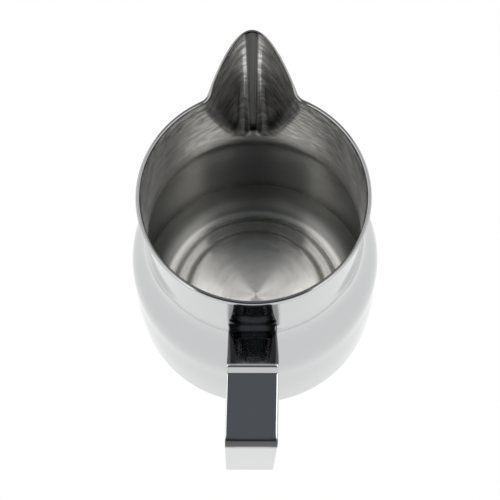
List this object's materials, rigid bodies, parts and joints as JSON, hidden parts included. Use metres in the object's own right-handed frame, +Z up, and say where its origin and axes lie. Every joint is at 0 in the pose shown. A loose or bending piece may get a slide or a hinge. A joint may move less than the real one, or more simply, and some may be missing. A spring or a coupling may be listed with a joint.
{
  "type": "cream jug",
  "caption": "Small stainless-steel cream jug: round belly, straight neck, pressed pouring spout and a flat bent strap handle with a thumb ridge.",
  "frame": {"origin": "on the table plane, under the middle of the whole jug's bounding box; the bowl's upright axis is 10.75 mm further along +Y", "axes": "+Z up, +Y towards the pouring spout, -Y towards the handle; the jug is mirror-symmetric across the YZ plane"},
  "size_m": [0.0928, 0.1386, 0.1074],
  "materials": {
    "shell_steel": "mirror polished outside and on the lip, fine brushed inside",
    "strap_steel": "mirror polished, long edges softly rounded",
    "weld_steel": "fused spot-weld metal, hidden between tab and wall"
  },
  "bodies": {
    "root": {"body_shell": "shell_steel", "handle_strap": "strap_steel", "upper_weld": "weld_steel", "lower_weld": "weld_steel"}
  },
  "joints": []
}
